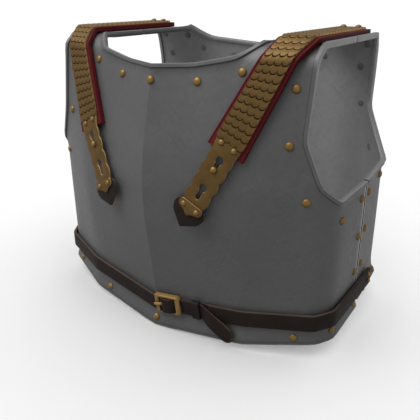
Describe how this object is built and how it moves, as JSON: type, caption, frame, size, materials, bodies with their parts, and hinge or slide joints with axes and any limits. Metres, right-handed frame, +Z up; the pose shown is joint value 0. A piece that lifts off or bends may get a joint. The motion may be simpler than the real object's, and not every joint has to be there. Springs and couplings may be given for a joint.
{
  "type": "cuirass",
  "caption": "Steel breastplate and backplate with a median ridge, proud rims and rivets, scaled shoulder straps that hook on studs, and a buckled leather waist belt.",
  "frame": {"origin": "on the floor, under the middle of the cuirass", "axes": "+X the wearer's left, -Y the way the wearer faces, +Z up"},
  "size_m": [0.4394, 0.2949, 0.3645],
  "materials": {
    "steel": "brushed, dull",
    "brass": "worn satin",
    "red_leather": "matte",
    "dark_leather": "matte"
  },
  "bodies": {
    "root": {"breastplate": "steel", "backplate": "steel", "strap_backing_left": "red_leather", "scale_strip_left": "brass", "keyhole_plate_left": "brass", "strap_stud_left": "brass", "end_tip_left": "brass", "leather_tab_left": "dark_leather", "belt_left": "dark_leather", "strap_backing_right": "red_leather", "scale_strip_right": "brass", "keyhole_plate_right": "brass", "strap_stud_right": "brass", "end_tip_right": "brass", "leather_tab_right": "dark_leather", "belt_right": "dark_leather", "buckle_frame": "brass", "buckle_bar": "brass", "buckle_prong": "brass", "keeper": "dark_leather", "rivet_neck_0": "brass", "rivet_hem_0": "brass", "rivet_neck_1_left": "brass", "rivet_neck_2_left": "brass", "rivet_arm_1_left": "brass", "rivet_arm_2_left": "brass", "rivet_arm_3_left": "brass", "rivet_arm_4_left": "brass", "rivet_seam_1_left": "brass", "rivet_seam_2_left": "brass", "rivet_seam_3_left": "brass", "rivet_hem_1_left": "brass", "rivet_hem_2_left": "brass", "rivet_hem_3_left": "brass", "rivet_hem_4_left": "brass", "rivet_belt_1_left": "brass", "rivet_belt_2_left": "brass", "rivet_strap_front_1_left": "brass", "rivet_strap_front_2_left": "brass", "rivet_strap_back_1_left": "brass", "rivet_strap_back_2_left": "brass", "rivet_neck_1_right": "brass", "rivet_neck_2_right": "brass", "rivet_arm_1_right": "brass", "rivet_arm_2_right": "brass", "rivet_arm_3_right": "brass", "rivet_arm_4_right": "brass", "rivet_seam_1_right": "brass", "rivet_seam_2_right": "brass", "rivet_seam_3_right": "brass", "rivet_hem_1_right": "brass", "rivet_hem_2_right": "brass", "rivet_hem_3_right": "brass", "rivet_hem_4_right": "brass", "rivet_belt_1_right": "brass", "rivet_belt_2_right": "brass", "rivet_strap_front_1_right": "brass", "rivet_strap_front_2_right": "brass", "rivet_strap_back_1_right": "brass", "rivet_strap_back_2_right": "brass"}
  },
  "joints": []
}
